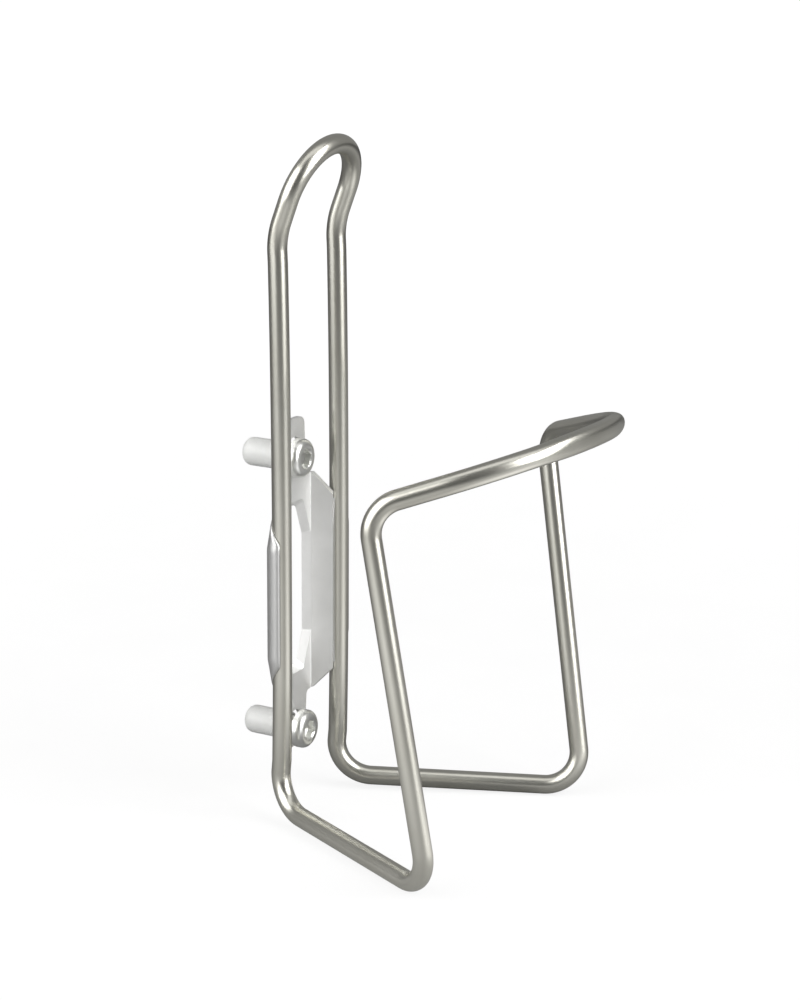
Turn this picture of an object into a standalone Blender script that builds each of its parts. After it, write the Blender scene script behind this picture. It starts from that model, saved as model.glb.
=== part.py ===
"""Water bottle cage: one bent rod loop, a pressed bracket, two bolts and their thread caps.

Metres, +Z up. The uprights stand at the back (+Y), the bottle stands in front of them (-Y),
and the part is symmetric about X = 0. Shapes are worked out in the cage's own frame, whose
origin lies on the uprights' plane, 0.6 mm above the middle between the two bolts. At the end
the whole cage is set down, so that the origin is at the centre of its footprint, under its
lowest point.
"""
from math import acos, atan2, cos, hypot, pi, radians, sin, tan

import bmesh
import bpy
from mathutils import Vector

# ---- rod -------------------------------------------------------------------------------------
ROD_RADIUS = 0.0022
ROD_SIDES = 16
BEND_STEP = radians(8)

UPRIGHT_HALF = 0.0121           # half distance between the uprights' axes
UPRIGHT_TOP_Z = 0.0834          # where the hook starts to lean forward
UPRIGHT_BASE_Z = -0.0472
UPRIGHT_BASE_Y = -0.0003
BOW_Z = -0.0050                 # where the uprights bow furthest towards the bottle
BOW_Y = -0.00085
HOOK_LEAN = radians(20.8)
HOOK_LEG = 0.0080               # from the top bend to the start of the half circle
HOOK_BEND_RADIUS = 0.0177
BASE_BEND_RADIUS = 0.0083

RISER_FOOT = (0.0365, -0.0527, -0.0481)     # corner between base rail and riser
RISER_FOOT_RADIUS = 0.0079
RISER_TOP = (0.0400, -0.0392, 0.0343)       # corner between riser and ring
RISER_TOP_RADIUS = 0.0075

RING_RADIUS = 0.03745
RING_CENTRE_Y = -0.0341
RING_RISE = radians(19.9)       # the ring climbs towards its front at this angle
BAND_HALF_HEIGHT = 0.0024       # the ring's front is pressed into a flat band
BAND_HALF_THICKNESS = 0.0016
BAND_FLAT_ANGLE = radians(14)   # half angle of the full band, seen from the ring's centre
BAND_END_ANGLE = radians(32)    # half angle where the rod is round again

# ---- bracket ---------------------------------------------------------------------------------
SHEET = 0.0011
GAP = 0.0003                    # clearance between pieces that touch
WEB_FRONT_Y = 0.0035
WEB_BACK_Y = WEB_FRONT_Y + SHEET
BRACKET_CENTRE_Z = 0.0008
TAB_HALF_LENGTH = 0.0395
LOWER_TAB_TRIM = 0.0015         # the lower tab is shorter than the upper one
WING_FOLD_X = 0.0069            # inner face of the wings
WING_FRONT_X = 0.00847
WING_FRONT_Y = -0.0012
FOLD_INNER_RADIUS = 0.0003
FOLD_HALF_HEIGHT = 0.0258       # half height of the sheet at the fold
WING_FRONT_HALF_HEIGHT = 0.0208
CRIMP_Y = -0.00083              # the uprights' mean place along the bracket
CRIMP_HALF_HEIGHT = 0.0196
CRIMP_FULL_HALF_HEIGHT = 0.0128     # the crimp thins and shortens outside this
CRIMP_START = 185.0             # degrees round the upright, 180 inside and 0 outside
CRIMP_END = -22.0
CRIMP_END_AT_TIP = 75.0
CRIMP_STEPS_ROUND = 14
CRIMP_HEIGHTS = (-1.0, -0.94, -0.87, -0.8, -0.72, -0.6531, 0.6531, 0.72, 0.8, 0.87, 0.94, 1.0)

WINDOW_HALF_WIDTH = 0.00675      # six-sided window, at the web's front face
WINDOW_CORNER_Z = 0.01175
WINDOW_APEX_HALF_WIDTH = 0.0035
WINDOW_APEX_Z = 0.0203
WINDOW_LIP_DEPTH = 0.0015      # the 45 degree lip runs this far back from the front face
WINDOW_CORNER_RADIUS = 0.0014

SLOT_SPACING = 0.0645
SLOT_SHIFT = -0.0004            # the pair sits this far from the bracket's middle
SLOT_LENGTH = 0.0084
SLOT_HALF_WIDTH = 0.0027

# ---- bolts and thread caps -------------------------------------------------------------------
BOLT_SPACING = 0.064
BOLT_CENTRE_Z = -0.0006         # midway between the bolts, which sit low in their slots
BOLT_RADIUS = 0.0025
BOLT_LENGTH = 0.012
BOLT_TIP_CHAMFER = 0.0005
HEAD_RADIUS = 0.00445
HEAD_HEIGHT = 0.0027
HEAD_EDGE_RADIUS = 0.0014
SOCKET_ACROSS_FLATS = 0.004
SOCKET_DEPTH = 0.0017
UPPER_HEAD_GAP = 0.0005
LOWER_HEAD_GAP = 0.0013         # the lower screw is not quite run home
BOLT_SIDES = 40

CAP_OUTER_RADIUS = 0.00325
CAP_BORE_RADIUS = 0.0028
CAP_TIP_RADIUS = 0.0018
CAP_END_WALL = 0.0007
CAP_GAP = 0.0003                # to the bracket's back
CAP_BORE_DEPTH = 0.0106


def clear_scene():
    """Remove every object that the file starts with."""
    for obj in list(bpy.data.objects):
        bpy.data.objects.remove(obj, do_unlink=True)


def make_material(name, colour, metallic, roughness):
    """A Principled material with one colour."""
    material = bpy.data.materials.new(name)
    material.use_nodes = True
    shader = material.node_tree.nodes["Principled BSDF"]
    shader.inputs["Base Color"].default_value = (*colour, 1.0)
    shader.inputs["Metallic"].default_value = metallic
    shader.inputs["Roughness"].default_value = roughness
    return material


def make_object(name, verts, faces, material=None, location=(0, 0, 0)):
    """A smooth-shaded mesh object whose faces all point outwards."""
    mesh = bpy.data.meshes.new(name)
    mesh.from_pydata([tuple(v) for v in verts], [], faces)
    bm = bmesh.new()
    bm.from_mesh(mesh)
    bmesh.ops.recalc_face_normals(bm, faces=bm.faces)
    bmesh.ops.triangulate(bm, faces=bm.faces)
    bm.to_mesh(mesh)
    bm.free()
    mesh.shade_smooth()
    mesh.set_sharp_from_angle(angle=radians(30))
    if material:
        mesh.materials.append(material)
    obj = bpy.data.objects.new(name, mesh)
    obj.location = location
    bpy.context.scene.collection.objects.link(obj)
    return obj


def hide_cutter(obj):
    """Mark an object as a helper of a Boolean modifier."""
    obj.hide_render = True
    obj.display_type = "WIRE"


def add_boolean(obj, other, operation):
    """Join to, or cut from, obj the solid other."""
    hide_cutter(other)
    modifier = obj.modifiers.new(operation.lower(), "BOOLEAN")
    modifier.operation = operation
    modifier.solver = "EXACT"
    modifier.object = other


# ---- the rod's centreline --------------------------------------------------------------------

def bend_points(before, corner, after, radius):
    """Points of the arc that rounds the corner of a bent rod."""
    back = (before - corner).normalized()
    ahead = (after - corner).normalized()
    turn = pi - back.angle(ahead)
    reach = radius * tan(turn / 2)
    start = corner + back * reach
    normal = back.cross(ahead).normalized()
    towards_centre = normal.cross(back).normalized()
    centre = start + towards_centre * radius
    steps = max(2, round(turn / BEND_STEP))
    points = []
    for i in range(steps + 1):
        angle = turn * i / steps
        points.append(centre - towards_centre * radius * cos(angle) - back * radius * sin(angle))
    return points


def ring_point(angle):
    """A point of the ring, at an angle from the front in plan."""
    y = RING_CENTRE_Y - RING_RADIUS * cos(angle)
    return Vector((RING_RADIUS * sin(angle), y, RISER_TOP[2] + (RISER_TOP[1] - y) * tan(RING_RISE)))


def ring_end_angle():
    """The angle at which the ring leaves its circle, on a straight tangent to the riser."""
    dx = RISER_TOP[0]
    dy = RISER_TOP[1] - RING_CENTRE_Y
    tangent = atan2(dy, dx) - acos(RING_RADIUS / hypot(dx, dy))
    return tangent + pi / 2


def upright_y(z):
    """How far an upright bows towards the bottle, which is a negative Y."""
    if z > BOW_Z:
        return BOW_Y * (1 - ((z - BOW_Z) / (UPRIGHT_TOP_Z - BOW_Z)) ** 2.6)
    return BOW_Y + (UPRIGHT_BASE_Y - BOW_Y) * ((BOW_Z - z) / (BOW_Z - UPRIGHT_BASE_Z)) ** 2


def bowed_upright(start, end):
    """Points between the two ends of an upright."""
    steps = 12
    points = []
    for i in range(1, steps):
        point = start.lerp(end, i / steps)
        point.y = upright_y(point.z)
        points.append(point)
    return points


def half_centreline():
    """The rod's centreline at X >= 0, from the ring's front to the hook's top.

    Gives the points and, beside each, how flat the rod is there: 1 in the band, 0 where round.
    """
    end_angle = ring_end_angle()
    ring_steps = 14
    ring_angles = [end_angle * i / ring_steps for i in range(ring_steps + 1)]
    points = [ring_point(angle) for angle in ring_angles]
    flatness = []
    for angle in ring_angles:
        fade = (BAND_END_ANGLE - angle) / (BAND_END_ANGLE - BAND_FLAT_ANGLE)
        fade = min(1.0, max(0.0, fade))
        flatness.append(fade * fade * (3 - 2 * fade))

    lean = Vector((0, -sin(HOOK_LEAN), cos(HOOK_LEAN)))
    hook_corner = Vector((UPRIGHT_HALF, 0, UPRIGHT_TOP_Z))
    hook_start = hook_corner + lean * HOOK_LEG
    base_corner = Vector((UPRIGHT_HALF, UPRIGHT_BASE_Y, UPRIGHT_BASE_Z))
    foot = Vector(RISER_FOOT)
    top = Vector(RISER_TOP)

    points += bend_points(points[-1], top, foot, RISER_TOP_RADIUS)
    points += bend_points(top, foot, base_corner, RISER_FOOT_RADIUS)
    base_bend = bend_points(foot, base_corner, hook_corner, BASE_BEND_RADIUS)
    hook_bend = bend_points(base_corner, hook_corner, hook_start, HOOK_BEND_RADIUS)
    points += base_bend
    points += bowed_upright(base_bend[-1], hook_bend[0])
    points += hook_bend

    hook_centre = Vector((0, hook_start.y, hook_start.z))
    across = Vector((UPRIGHT_HALF, 0, 0))
    arc_steps = 9
    for i in range(arc_steps + 1):
        angle = pi / 2 * i / arc_steps
        points.append(hook_centre + across * cos(angle) + lean * UPRIGHT_HALF * sin(angle))
    points[-1].x = 0.0
    flatness += [0.0] * (len(points) - len(flatness))
    return points, flatness


def make_rod(material):
    """Sweep the rod's section along the half centreline and mirror it into a closed loop."""
    points, flatness = half_centreline()
    verts = []
    outward = Vector((0, -1, 0))
    last = len(points) - 1
    for i, point in enumerate(points):
        if i in (0, last):
            tangent = Vector((1 if i == 0 else -1, 0, 0))
        else:
            ahead = (points[i + 1] - point).normalized()
            behind = (point - points[i - 1]).normalized()
            tangent = (ahead + behind).normalized()
        outward = (outward - tangent * outward.dot(tangent)).normalized()
        upward = tangent.cross(outward)
        height = ROD_RADIUS + (BAND_HALF_HEIGHT - ROD_RADIUS) * flatness[i]
        thickness = ROD_RADIUS + (BAND_HALF_THICKNESS - ROD_RADIUS) * flatness[i]
        for k in range(ROD_SIDES):
            angle = 2 * pi * k / ROD_SIDES
            vert = point + upward * height * cos(angle) + outward * thickness * sin(angle)
            if i in (0, last):
                vert.x = 0.0
            verts.append(vert)
    faces = []
    for i in range(last):
        for k in range(ROD_SIDES):
            a = i * ROD_SIDES + k
            b = i * ROD_SIDES + (k + 1) % ROD_SIDES
            faces.append((a, b, b + ROD_SIDES, a + ROD_SIDES))
    rod = make_object("rod_loop", verts, faces, material)
    mirror = rod.modifiers.new("mirror", "MIRROR")
    mirror.use_axis = (True, False, False)
    mirror.use_mirror_merge = True
    mirror.merge_threshold = 0.00002
    return rod


# ---- the bracket -----------------------------------------------------------------------------

def sheet_strip(name, stations, material=None):
    """A bent strip of sheet, from stations of (front x, front y, back x, back y, up, down)."""
    verts = []
    for front_x, front_y, back_x, back_y, up, down in stations:
        for x, y in ((front_x, front_y), (back_x, back_y)):
            verts.append((x, y, BRACKET_CENTRE_Z + up))
            verts.append((x, y, BRACKET_CENTRE_Z - down))
    faces = [(0, 1, 3, 2)]
    for i in range(len(stations) - 1):
        a = 4 * i
        b = a + 4
        faces.append((a, a + 1, b + 1, b))
        faces.append((a + 2, b + 2, b + 3, a + 3))
        faces.append((a, b, b + 2, a + 2))
        faces.append((a + 1, a + 3, b + 3, b + 1))
    end = 4 * (len(stations) - 1)
    faces.append((end, end + 2, end + 3, end + 1))
    return make_object(name, verts, faces, material)


def web_and_wing_stations():
    """The right half of the web, its fold and its wing."""
    stations = []
    tab_outline = (
        (0.0024, TAB_HALF_LENGTH),
        (0.0034, TAB_HALF_LENGTH - 0.0003),
        (0.0041, TAB_HALF_LENGTH - 0.0011),
        (0.0043, TAB_HALF_LENGTH - 0.0021),
        (0.0048, FOLD_HALF_HEIGHT + 0.0011),
        (0.0053, FOLD_HALF_HEIGHT + 0.0004),
    )
    for x, half in tab_outline:
        trim = LOWER_TAB_TRIM if half > FOLD_HALF_HEIGHT + 0.0020 else 0.0
        stations.append((x, WEB_FRONT_Y, x, WEB_BACK_Y, half, half - trim))
    centre_x = WING_FOLD_X - FOLD_INNER_RADIUS
    centre_y = WEB_FRONT_Y - FOLD_INNER_RADIUS
    outer = FOLD_INNER_RADIUS + SHEET
    fold_steps = 4
    for i in range(fold_steps + 1):
        angle = pi / 2 * (1 - i / fold_steps)
        half = FOLD_HALF_HEIGHT - 0.0002 * i / fold_steps
        stations.append((
            centre_x + FOLD_INNER_RADIUS * cos(angle),
            centre_y + FOLD_INNER_RADIUS * sin(angle),
            centre_x + outer * cos(angle),
            centre_y + outer * sin(angle),
            half,
            half,
        ))
    half = WING_FRONT_HALF_HEIGHT
    stations.append((WING_FRONT_X, WING_FRONT_Y, WING_FRONT_X + SHEET, WING_FRONT_Y, half, half))
    return stations


def mirrored(stations):
    """The same stations on the left, in the order that runs on into the right half."""
    return [(-fx, fy, -bx, by, up, down) for fx, fy, bx, by, up, down in reversed(stations)]


def make_crimp(name, side):
    """The channel pressed round the back of an upright; it thins and shortens at both ends."""
    inner = []
    outer = []
    for level in CRIMP_HEIGHTS:
        height = CRIMP_HALF_HEIGHT * level
        taper = (CRIMP_HALF_HEIGHT - abs(height)) / (CRIMP_HALF_HEIGHT - CRIMP_FULL_HALF_HEIGHT)
        taper = min(1.0, taper)
        end = CRIMP_END_AT_TIP + (CRIMP_END - CRIMP_END_AT_TIP) * min(1.0, 1.25 * taper)
        thickness = SHEET * (0.25 + 0.75 * taper)
        for i in range(CRIMP_STEPS_ROUND + 1):
            angle = radians(CRIMP_START + (end - CRIMP_START) * i / CRIMP_STEPS_ROUND)
            for radius, grid in ((ROD_RADIUS + GAP, inner), (ROD_RADIUS + GAP + thickness, outer)):
                x = side * (UPRIGHT_HALF + radius * cos(angle))
                grid.append((x, CRIMP_Y + radius * sin(angle), BRACKET_CENTRE_Z + height))
    row = CRIMP_STEPS_ROUND + 1
    rows = len(CRIMP_HEIGHTS)
    offset = len(inner)
    faces = []
    for j in range(rows - 1):
        for i in range(row - 1):
            a = j * row + i
            b = a + row
            faces.append((a, a + 1, b + 1, b))
            faces.append((a + offset, b + offset, b + 1 + offset, a + 1 + offset))
    border = [i for i in range(row)]
    border += [(j + 1) * row - 1 for j in range(1, rows)]
    border += [(rows - 1) * row + i for i in range(row - 2, -1, -1)]
    border += [j * row for j in range(rows - 2, 0, -1)]
    for a, b in zip(border, border[1:] + border[:1]):
        faces.append((a, b, b + offset, a + offset))
    return make_object(name, inner + outer, faces)


def window_outline(inset):
    """The six-sided window in X and Z, set in by a distance, with its corners rounded."""
    corners = [
        (WINDOW_HALF_WIDTH, WINDOW_CORNER_Z),
        (WINDOW_APEX_HALF_WIDTH, WINDOW_APEX_Z),
        (-WINDOW_APEX_HALF_WIDTH, WINDOW_APEX_Z),
        (-WINDOW_HALF_WIDTH, WINDOW_CORNER_Z),
        (-WINDOW_HALF_WIDTH, -WINDOW_CORNER_Z),
        (-WINDOW_APEX_HALF_WIDTH, -WINDOW_APEX_Z),
        (WINDOW_APEX_HALF_WIDTH, -WINDOW_APEX_Z),
        (WINDOW_HALF_WIDTH, -WINDOW_CORNER_Z),
    ]
    corners = [Vector((x, 0, z)) for x, z in corners]
    count = len(corners)
    inset_corners = []
    for i, corner in enumerate(corners):
        back = (corners[i - 1] - corner).normalized()
        ahead = (corners[(i + 1) % count] - corner).normalized()
        half_angle = back.angle(ahead) / 2
        inwards = (back + ahead).normalized()
        inset_corners.append(corner + inwards * inset / sin(half_angle))
    outline = []
    for i, corner in enumerate(inset_corners):
        before = inset_corners[i - 1]
        after = inset_corners[(i + 1) % count]
        turn = pi - (before - corner).angle(after - corner)
        room = 0.45 * min((before - corner).length, (after - corner).length)
        radius = min(WINDOW_CORNER_RADIUS, room / tan(turn / 2))
        outline += corner_arc(before, corner, after, radius)
    return outline


def corner_arc(before, corner, after, radius, steps=3):
    """A fixed number of points round one corner of a flat outline."""
    back = (before - corner).normalized()
    ahead = (after - corner).normalized()
    turn = pi - back.angle(ahead)
    start = corner + back * radius * tan(turn / 2)
    towards_centre = back.cross(ahead).normalized().cross(back).normalized()
    centre = start + towards_centre * radius
    points = []
    for i in range(steps + 1):
        angle = turn * i / steps
        points.append(centre - towards_centre * radius * cos(angle) - back * radius * sin(angle))
    return points


def loft_along_y(name, outline_start, start_y, outline_end, end_y):
    """A closed solid between two outlines with equally many points."""
    count = len(outline_start)
    verts = [(p.x, start_y, p.z + BRACKET_CENTRE_Z) for p in outline_start]
    verts += [(p.x, end_y, p.z + BRACKET_CENTRE_Z) for p in outline_end]
    faces = [tuple(range(count)), tuple(range(2 * count - 1, count - 1, -1))]
    for i in range(count):
        j = (i + 1) % count
        faces.append((i, j, j + count, i + count))
    return make_object(name, verts, faces)


def make_bracket(material):
    """The pressed sheet: tabs and web, folded wings, hemmed edges, window with lip, and slots."""
    right = web_and_wing_stations()
    bracket = sheet_strip("mounting_bracket", mirrored(right) + right, material)
    for side, label in ((1, "right"), (-1, "left")):
        add_boolean(bracket, make_crimp("crimp_" + label, side), "UNION")

    lip_thickness = SHEET * 2 ** 0.5        # the 45 degree lip's thickness, measured along Y
    root_y = WEB_FRONT_Y + SHEET / 2
    lip_end_y = WEB_FRONT_Y + WINDOW_LIP_DEPTH
    lip = loft_along_y(
        "lip_outside",
        window_outline(root_y - WEB_FRONT_Y - lip_thickness), root_y,
        window_outline(WINDOW_LIP_DEPTH - lip_thickness), lip_end_y,
    )
    add_boolean(bracket, lip, "UNION")
    over = 0.0001
    window = loft_along_y(
        "window_cutter",
        window_outline(-over), WEB_FRONT_Y - over,
        window_outline(WINDOW_LIP_DEPTH + over), lip_end_y + over,
    )
    add_boolean(bracket, window, "DIFFERENCE")
    for side, label in ((1, "upper"), (-1, "lower")):
        slot = slot_cutter("slot_" + label, SLOT_SHIFT + side * SLOT_SPACING / 2)
        add_boolean(bracket, slot, "DIFFERENCE")
    return bracket


def slot_cutter(name, centre_z):
    """A round-ended bar through one tab."""
    straight = SLOT_LENGTH / 2 - SLOT_HALF_WIDTH
    steps = 10
    outline = []
    for end in (1, -1):
        for i in range(steps + 1):
            angle = pi * i / steps
            x = end * SLOT_HALF_WIDTH * cos(angle)
            z = centre_z + end * (straight + SLOT_HALF_WIDTH * sin(angle))
            outline.append(Vector((x, 0, z)))
    return loft_along_y(name, outline, WEB_FRONT_Y - SHEET / 2, outline, WEB_BACK_Y + SHEET / 2)


# ---- bolts and caps --------------------------------------------------------------------------

def turned_solid(name, profile, material=None, location=(0, 0, 0)):
    """A solid turned about Y, from (radius, y) points that start and end on the axis."""
    verts = [(0, profile[0][1], 0)]
    for radius, y in profile[1:-1]:
        for k in range(BOLT_SIDES):
            angle = 2 * pi * k / BOLT_SIDES
            verts.append((radius * cos(angle), y, radius * sin(angle)))
    verts.append((0, profile[-1][1], 0))
    rings = len(profile) - 2
    faces = []
    for k in range(BOLT_SIDES):
        following = (k + 1) % BOLT_SIDES
        faces.append((0, 1 + k, 1 + following))
        for i in range(rings - 1):
            a = 1 + i * BOLT_SIDES
            b = a + BOLT_SIDES
            faces.append((a + k, a + following, b + following, b + k))
        a = 1 + (rings - 1) * BOLT_SIDES
        faces.append((a + k, len(verts) - 1, a + following))
    return make_object(name, verts, faces, material, location)


def make_bolt(name, z, head_gap, material):
    """A low-head screw; its origin is on its axis, at the underside of the head."""
    profile = [(0, -HEAD_HEIGHT)]
    steps = 5
    for i in range(steps + 1):
        angle = pi / 2 * i / steps
        radius = HEAD_RADIUS - HEAD_EDGE_RADIUS * (1 - sin(angle))
        profile.append((radius, -HEAD_HEIGHT + HEAD_EDGE_RADIUS * (1 - cos(angle))))
    profile += [
        (HEAD_RADIUS, 0),
        (BOLT_RADIUS, 0),
        (BOLT_RADIUS, BOLT_LENGTH - BOLT_TIP_CHAMFER),
        (BOLT_RADIUS - BOLT_TIP_CHAMFER, BOLT_LENGTH),
        (0, BOLT_LENGTH),
    ]
    location = (0, WEB_FRONT_Y - head_gap, z)
    bolt = turned_solid(name, profile, material, location)

    corner_radius = SOCKET_ACROSS_FLATS / 2 / cos(pi / 6)
    over = 0.0005
    verts = []
    for y in (-HEAD_HEIGHT - over, -HEAD_HEIGHT + SOCKET_DEPTH):
        for k in range(6):
            angle = pi / 3 * k
            verts.append((corner_radius * cos(angle), y, corner_radius * sin(angle)))
    faces = [tuple(range(6)), tuple(range(11, 5, -1))]
    faces += [(k, (k + 1) % 6, (k + 1) % 6 + 6, k + 6) for k in range(6)]
    socket = make_object(name + "_socket", verts, faces, None, location)
    add_boolean(bolt, socket, "DIFFERENCE")
    return bolt


def make_thread_cap(name, z, material):
    """A soft cap pushed over the thread; its origin is on its axis, at its open end."""
    open_end = WEB_BACK_Y + CAP_GAP
    length = CAP_BORE_DEPTH + CAP_END_WALL
    profile = [(0, CAP_BORE_DEPTH), (CAP_BORE_RADIUS, CAP_BORE_DEPTH), (CAP_BORE_RADIUS, 0)]
    profile.append((CAP_OUTER_RADIUS, 0))
    steps = 6
    for i in range(steps + 1):
        angle = pi / 2 * i / steps
        radius = CAP_OUTER_RADIUS - CAP_TIP_RADIUS * (1 - cos(angle))
        profile.append((radius, length - CAP_TIP_RADIUS * (1 - sin(angle))))
    profile.append((0, length))
    return turned_solid(name, profile, material, (0, open_end, z))


# ---- the whole cage --------------------------------------------------------------------------

def set_down(objects):
    """Parent everything to one empty, placed so that the footprint's centre is the origin."""
    bpy.context.view_layer.update()
    depsgraph = bpy.context.evaluated_depsgraph_get()
    corners = []
    for obj in objects:
        evaluated = obj.evaluated_get(depsgraph)
        corners += [evaluated.matrix_world @ v.co for v in evaluated.data.vertices]
    ys = [c.y for c in corners]
    base = bpy.data.objects.new("cage_frame", None)
    base.location = (0, -(min(ys) + max(ys)) / 2, -min(c.z for c in corners))
    bpy.context.scene.collection.objects.link(base)
    for obj in bpy.data.objects:
        if obj is not base:
            obj.parent = base


def main():
    clear_scene()
    rod_metal = make_material("satin_rod", (0.50, 0.49, 0.45), 1.0, 0.30)
    bracket_metal = make_material("bracket_sheet", (0.78, 0.78, 0.76), 1.0, 0.42)
    bolt_metal = make_material("bolt_steel", (0.72, 0.72, 0.68), 1.0, 0.16)
    cap_vinyl = make_material("cap_vinyl", (0.80, 0.81, 0.80), 0.0, 0.35)

    objects = [make_rod(rod_metal), make_bracket(bracket_metal)]
    for side, label, head_gap in ((1, "upper", UPPER_HEAD_GAP), (-1, "lower", LOWER_HEAD_GAP)):
        z = BOLT_CENTRE_Z + side * BOLT_SPACING / 2
        objects.append(make_bolt(label + "_bolt", z, head_gap, bolt_metal))
        objects.append(make_thread_cap(label + "_thread_cap", z, cap_vinyl))
    set_down(objects)


main()
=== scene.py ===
"""Water bottle cage: finished surfaces, floor, lights and camera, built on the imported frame."""
from math import acos, atan2, ceil, cos, hypot, pi, radians, sin, tan

import bmesh
import bpy
from mathutils import Matrix, Vector


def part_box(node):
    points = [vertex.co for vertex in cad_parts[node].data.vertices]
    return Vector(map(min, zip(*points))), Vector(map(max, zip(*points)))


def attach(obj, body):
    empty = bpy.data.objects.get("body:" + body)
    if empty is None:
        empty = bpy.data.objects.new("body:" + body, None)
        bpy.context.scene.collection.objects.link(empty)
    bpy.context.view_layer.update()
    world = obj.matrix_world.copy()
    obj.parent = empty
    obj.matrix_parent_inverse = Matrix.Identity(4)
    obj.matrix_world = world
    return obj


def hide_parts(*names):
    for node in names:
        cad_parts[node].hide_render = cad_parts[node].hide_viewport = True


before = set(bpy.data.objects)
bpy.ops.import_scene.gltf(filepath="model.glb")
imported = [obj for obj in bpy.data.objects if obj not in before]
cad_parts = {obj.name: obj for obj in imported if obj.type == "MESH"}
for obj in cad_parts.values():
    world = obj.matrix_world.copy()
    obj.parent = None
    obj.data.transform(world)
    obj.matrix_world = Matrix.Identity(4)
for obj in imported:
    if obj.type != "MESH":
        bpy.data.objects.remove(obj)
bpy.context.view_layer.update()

MM = 0.001

# Sizes and places are in the cage's own frame: its origin lies near the middle of the bracket, on
# the uprights' plane. DATUM, below them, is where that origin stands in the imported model.

# ---- rod -------------------------------------------------------------------------------------
ROD_RADIUS = 2.19 * MM
UPRIGHT_HALF = 12.1 * MM
UPRIGHT_TOP_Z = 83.4 * MM
UPRIGHT_BASE_Z = -47.2 * MM
UPRIGHT_BASE_Y = -0.3 * MM
BOW_Z = -5.0 * MM               # where the uprights bow furthest towards the bottle
BOW_Y = -0.85 * MM
BOW_UPPER_POWER = 2.6           # how the bow fades above that height, and below it
BOW_LOWER_POWER = 2
HOOK_LEAN = radians(20.8)
HOOK_LEG = 8.0 * MM
HOOK_BEND_RADIUS = 17.7 * MM
BASE_BEND_RADIUS = 8.3 * MM
RISER_FOOT = Vector((36.5, -52.7, -48.1)) * MM
RISER_FOOT_RADIUS = 7.9 * MM
RISER_TOP = Vector((40.0, -39.2, 34.3)) * MM
RISER_TOP_RADIUS = 7.5 * MM
RING_RADIUS = 37.45 * MM
RING_CENTRE_Y = -34.1 * MM
RING_RISE = radians(19.9)
BAND_HALF_HEIGHT = 2.35 * MM
BAND_HALF_THICKNESS = 1.55 * MM
BAND_FLAT_ANGLE = radians(14)
BAND_END_ANGLE = radians(32)
BAND_SQUARENESS = 0.38          # 0 is an ellipse, 1 is a rectangle
ROD_SIDES = 48
BEND_STEP = radians(2.5)        # between the centreline's points in a bend
STRAIGHT_STEP = 3 * MM          # and on a straight

# ---- bracket ---------------------------------------------------------------------------------
SHEET = 1.1 * MM
WEB_FRONT_Y = 3.5 * MM
WEB_BACK_Y = WEB_FRONT_Y + SHEET
BRACKET_CENTRE_Z = 0.8 * MM
TAB_HALF_LENGTH = 39.45 * MM
LOWER_TAB_TRIM = 1.5 * MM       # how much shorter the lower tab is
TAB_ROOT_HALF_WIDTH = 5.30 * MM
TAB_ROOT_Z = 26.0 * MM
TAB_NECK_HALF_WIDTH = 4.82 * MM
TAB_NECK_Z = 26.6 * MM
TAB_TIP_HALF_WIDTH = 4.30 * MM
TAB_TIP_Z = 37.0 * MM
TAB_CORNER_X = 2.38 * MM
TAB_CORNER_RADIUS = 1.9 * MM
FOLD_X = 6.92 * MM
FOLD_RADIUS = 0.35 * MM
FOLD_HALF_HEIGHT = 25.7 * MM
WING_FRONT_X = 8.70 * MM
WING_FRONT_Y = -1.2 * MM
WING_FRONT_HALF_HEIGHT = 20.75 * MM
WING_SLANT_START = 0.2 * MM     # in front of the web's front face
CRIMP_X = UPRIGHT_HALF
CRIMP_Y = -0.83 * MM
CRIMP_RADIUS = ROD_RADIUS + 0.05 * MM
CRIMP_HALF_HEIGHT = 19.6 * MM
CRIMP_FULL_HALF_HEIGHT = 12.8 * MM
CRIMP_START = 188.0             # degrees round the upright, from outwards through the back
CRIMP_END = -22.0
CRIMP_END_AT_TIP = 75.0
CRIMP_WRAP_GAIN = 1.25          # the wrap is whole before the taper ends
CRIMP_TIP_THICKNESS = 0.1       # share of the sheet's thickness left at the tips
CRIMP_TAPER_POWER = 1.15
CRIMP_EDGE_THICKNESS = 0.45     # share left at the free edge
CRIMP_EDGE_GAIN = 9             # the free edge rounds off over a ninth of the wrap
WINDOW_HALF_WIDTH = 6.75 * MM
WINDOW_CORNER_Z = 11.75 * MM
WINDOW_APEX_HALF_WIDTH = 3.5 * MM
WINDOW_APEX_Z = 20.3 * MM
WINDOW_LIP_DEPTH = 1.5 * MM
WINDOW_CORNER_RADIUS = 1.4 * MM
SLOT_SPACING = 64.5 * MM
SLOT_SHIFT = -0.8 * MM
SLOT_LENGTH = 7.6 * MM
SLOT_HALF_WIDTH = 2.7 * MM
EDGE_ROUNDING = 0.14 * MM

# ---- bolts and caps --------------------------------------------------------------------------
BOLT_CENTRE_Z = -0.6 * MM       # midway between the two screws
BOLT_SPACING = 64.0 * MM
UPPER_HEAD_BASE_Y = WEB_FRONT_Y - 0.5 * MM
LOWER_HEAD_BASE_Y = WEB_FRONT_Y - 1.3 * MM
HEAD_HEIGHT = 2.7 * MM
HEAD_RADIUS = 4.45 * MM
HEAD_FRONT_ROUNDING = 1.5 * MM
HEAD_BACK_CHAMFER = 0.15 * MM
SOCKET_ACROSS_FLATS = 4.0 * MM
SOCKET_DEPTH = 1.7 * MM
MOUTH_REACH = 0.35 * MM         # the socket's countersink, either side of its corners
MOUTH_LIFT = 0.3 * MM
MOUTH_DEPTH = 0.4 * MM
DRILL_RADIUS = 1.75 * MM        # the drilled point at the socket's bottom
DRILL_OVERLAP = 0.5 * MM
DRILL_SHOULDER = 0.02 * MM
DRILL_POINT = 0.45 * MM
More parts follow.
